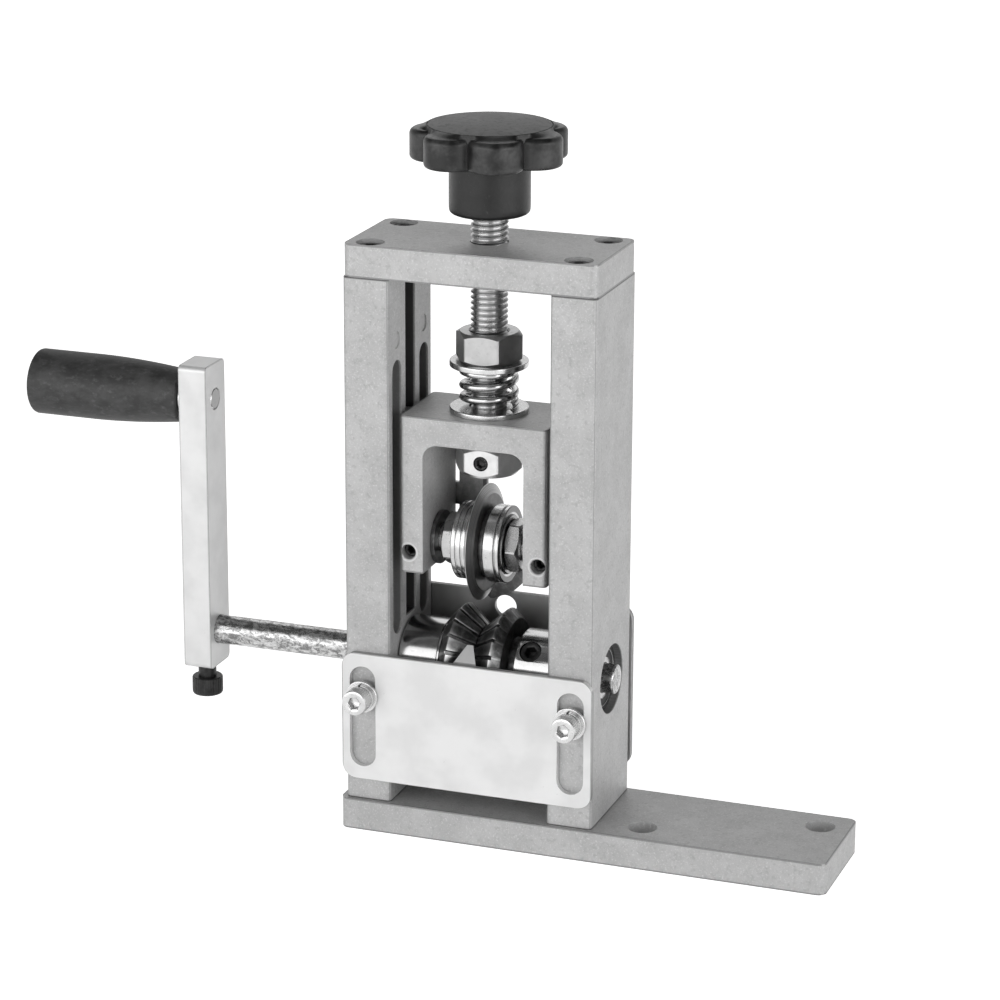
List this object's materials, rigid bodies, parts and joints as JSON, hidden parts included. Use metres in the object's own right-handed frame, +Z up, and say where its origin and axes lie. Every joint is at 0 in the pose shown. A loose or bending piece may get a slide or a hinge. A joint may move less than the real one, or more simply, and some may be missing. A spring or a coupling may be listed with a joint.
{
  "type": "hand crank wire stripper",
  "caption": "Bench wire stripper: a hand crank turns two toothed feed gears under a sprung round blade in a sliding carriage that a star knob sets.",
  "frame": {"origin": "on the base plate's underside, under the middle of the tower", "axes": "+X along the crank shaft away from the crank, +Y to the rear where the wire leaves, +Z up"},
  "size_m": [0.2317, 0.0482, 0.1949],
  "materials": {
    "cast_body": "fine bead-blasted silver grey",
    "polished_plate": "polished flat stock",
    "bright_steel": "bright turned and zinc-plated steel",
    "ground_steel": "ground and threaded steel",
    "hardened_steel": "dark hardened steel",
    "black_screws": "black oxide",
    "knob_plastic": "semi-gloss black",
    "grip_plastic": "matte black"
  },
  "bodies": {
    "root": {"base_plate": "cast_body", "left_column": "cast_body", "right_column": "cast_body", "top_plate": "cast_body", "top_plate_screws": "black_screws", "base_screws": "black_screws", "shaft_bearing_outer_rings": "ground_steel", "shaft_bearing_balls": "bright_steel", "guide_plate_screws": "bright_steel", "guide_plate_flat_washers": "bright_steel", "guide_plate_lock_washers": "bright_steel"},
    "front_guide": {"front_guide_plate": "polished_plate"},
    "rear_guide": {"rear_guide_plate": "ground_steel"},
    "crank": {"crank_shaft": "ground_steel", "shaft_bearing_inner_rings": "ground_steel", "shaft_spacers": "bright_steel", "left_feed_gear": "hardened_steel", "right_feed_gear": "hardened_steel", "left_shaft_collar": "bright_steel", "right_shaft_collar": "bright_steel", "collar_set_screws": "black_screws", "crank_arm": "polished_plate", "crank_clamp_screw": "black_screws", "handle_bolt": "bright_steel", "handle_washer": "bright_steel"},
    "grip": {"handle_grip": "grip_plastic"},
    "spring_pack": {"upper_washer": "bright_steel", "pressure_spring": "bright_steel"},
    "spindle": {"spindle": "ground_steel", "star_knob": "knob_plastic", "knob_cap": "knob_plastic", "knob_insert": "bright_steel", "spring_nut": "bright_steel", "lock_nut": "bright_steel", "lock_nut_set_screw": "black_screws", "thrust_washer": "bright_steel"},
    "carriage": {"lower_washer": "bright_steel", "blade_carriage": "cast_body", "carriage_set_screws": "black_screws", "blade_axle": "ground_steel", "axle_nuts": "bright_steel", "axle_washers": "ground_steel", "blade_bearing_inner_rings": "ground_steel", "axle_spacer": "ground_steel", "splitter_plate": "hardened_steel", "splitter_screws": "bright_steel"},
    "cutter": {"blade": "hardened_steel", "blade_sleeve": "hardened_steel", "left_press_wheel": "bright_steel", "right_press_wheel": "bright_steel", "blade_bearing_outer_rings": "hardened_steel", "blade_bearing_balls": "bright_steel"}
  },
  "joints": [
    {"name": "front_guide_slide", "type": "slide", "parent": "root", "child": "front_guide", "axis": [0, 0, 1], "range_m": [-0.0005, 0.005]},
    {"name": "rear_guide_slide", "type": "slide", "parent": "root", "child": "rear_guide", "axis": [0, 0, 1], "range_m": [-0.0055, 0.006]},
    {"name": "crank_turn", "type": "hinge", "parent": "root", "child": "crank", "pos_m": [0, 0, 0.0462], "axis": [1, 0, 0], "continuous": true},
    {"name": "grip_spin", "type": "hinge", "parent": "crank", "child": "grip", "pos_m": [-0.11, 0, 0.1124], "axis": [1, 0, 0], "continuous": true},
    {"name": "pressure_feed", "type": "slide", "parent": "root", "child": "spring_pack", "axis": [0, 0, 1], "range_m": [-0.007, 0.014]},
    {"name": "knob_turn", "type": "hinge", "parent": "spring_pack", "child": "spindle", "pos_m": [0, 0, 0.15], "axis": [0, 0, 1], "range_deg": [-1682, 3362]},
    {"name": "carriage_float", "type": "slide", "parent": "spring_pack", "child": "carriage", "axis": [0, 0, 1], "range_m": [0, 0.0025], "stiffness_N_per_m": 6000, "springref_m": -0.0015, "deforming": ["pressure_spring"]},
    {"name": "cutter_spin", "type": "hinge", "parent": "carriage", "child": "cutter", "pos_m": [0, 0, 0.0806], "axis": [1, 0, 0], "continuous": true}
  ],
  "couplings": [
    {"joint": "knob_turn", "follows": "pressure_feed", "rad_per_m": 4188.8}
  ]
}
